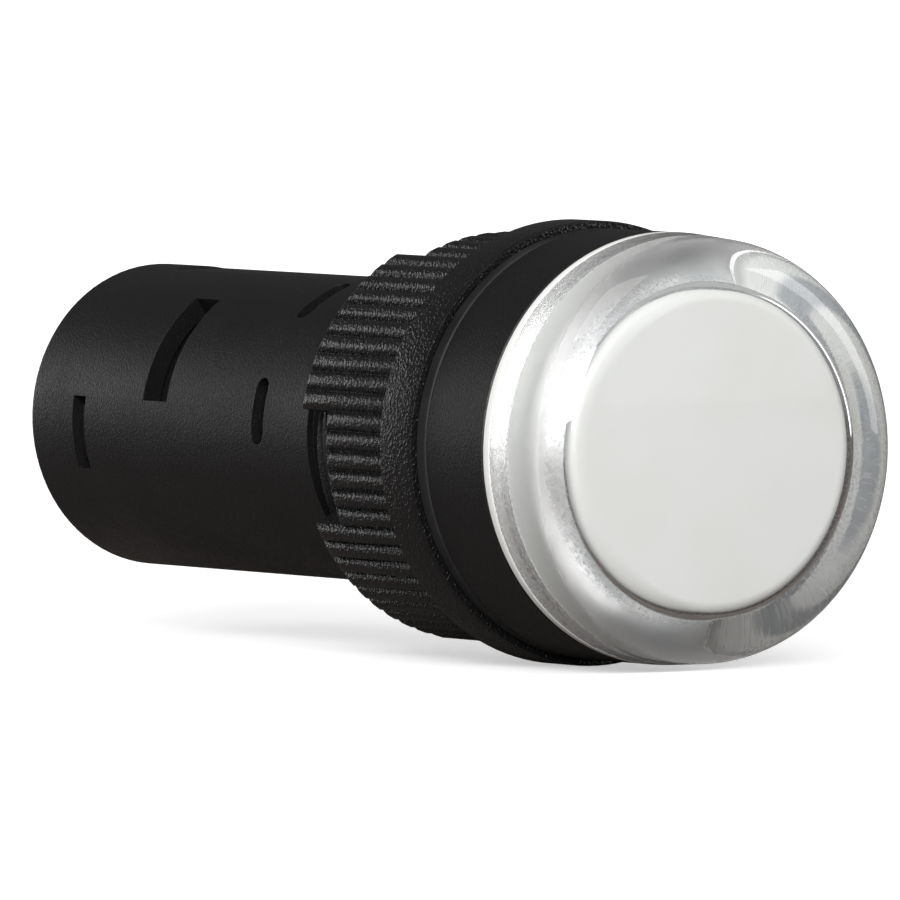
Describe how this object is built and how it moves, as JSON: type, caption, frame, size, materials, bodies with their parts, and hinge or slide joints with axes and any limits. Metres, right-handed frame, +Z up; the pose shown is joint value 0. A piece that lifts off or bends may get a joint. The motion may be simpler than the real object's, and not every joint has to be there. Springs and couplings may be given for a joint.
{
  "type": "panel pilot light",
  "caption": "Round LED panel pilot light with a clear-edged white lens, threaded barrel, ribbed lock nut and rear screw terminals.",
  "frame": {"origin": "centre of the bezel's rear face, on the lamp axis: the point where the lamp seats on the front of a panel", "axes": "+Y along the lamp axis from the panel to the terminals, with the lens towards -Y; +Z up, through the middle of the marking flat; +X to the right seen from behind the lens's back, so left and right are as seen from the front of the panel"},
  "size_m": [0.03, 0.0717, 0.03],
  "materials": {
    "housing_plastic": "black moulded thermoplastic with a fine spark-eroded texture",
    "nut_plastic": "black moulded thermoplastic, slightly glossier on its ribs, with a pebbled texture",
    "lens_clear": "clear polycarbonate, polished",
    "diffuser_white": "milky white translucent polycarbonate",
    "gasket_rubber": "smooth black rubber",
    "carrier_plastic": "dark grey moulded thermoplastic",
    "led_board_white": "white solder mask",
    "led_package": "white package with a pale yellow phosphor window",
    "tinned_wire": "tinned copper wire",
    "driver_board_green": "green solder mask",
    "capacitor_film": "brown-red epoxy",
    "resistor_body": "blue-grey lacquer",
    "rectifier_black": "black moulded epoxy",
    "capacitor_sleeve": "dark blue shrink sleeve",
    "terminal_block_plastic": "black glass-filled thermoplastic",
    "terminal_brass": "stamped brass",
    "plated_steel": "nickel-plated steel"
  },
  "bodies": {
    "lamp_body": {"housing": "housing_plastic", "lens": "lens_clear", "diffuser": "diffuser_white", "panel_gasket": "gasket_rubber", "board_carrier": "carrier_plastic", "led_board": "led_board_white", "led_1": "led_package", "led_2": "led_package", "led_3": "led_package", "led_4": "led_package", "led_5": "led_package", "led_6": "led_package", "led_lead_left": "tinned_wire", "led_lead_right": "tinned_wire", "driver_board": "driver_board_green", "dropper_capacitor": "capacitor_film", "bleed_resistor": "resistor_body", "series_resistor": "resistor_body", "bridge_rectifier": "rectifier_black", "smoothing_capacitor": "capacitor_sleeve", "terminal_block": "terminal_block_plastic", "terminal_plate_left": "terminal_brass", "terminal_plate_right": "terminal_brass"},
    "nut": {"lock_nut": "nut_plastic"},
    "washer_left": {"clamp_washer_left": "plated_steel"},
    "screw_left": {"terminal_screw_left": "plated_steel"},
    "washer_right": {"clamp_washer_right": "plated_steel"},
    "screw_right": {"terminal_screw_right": "plated_steel"}
  },
  "joints": [
    {"name": "nut_travel", "type": "slide", "parent": "lamp_body", "child": "nut", "axis": [0, 1, 0], "range_m": [0, 0.0105]},
    {"name": "washer_left_lift", "type": "slide", "parent": "lamp_body", "child": "washer_left", "axis": [0, 1, 0], "range_m": [0, 0.003]},
    {"name": "screw_left_turn", "type": "hinge", "parent": "washer_left", "child": "screw_left", "pos_m": [-0.00435, 0.04874, 0], "axis": [0, 1, 0], "range_deg": [0, 2160]},
    {"name": "washer_right_lift", "type": "slide", "parent": "lamp_body", "child": "washer_right", "axis": [0, 1, 0], "range_m": [0, 0.003]},
    {"name": "screw_right_turn", "type": "hinge", "parent": "washer_right", "child": "screw_right", "pos_m": [0.00435, 0.04874, 0], "axis": [0, 1, 0], "range_deg": [0, 2160]}
  ],
  "couplings": [
    {"joint": "screw_left_turn", "follows": "washer_left_lift", "rad_per_m": 12566},
    {"joint": "screw_right_turn", "follows": "washer_right_lift", "rad_per_m": 12566}
  ]
}
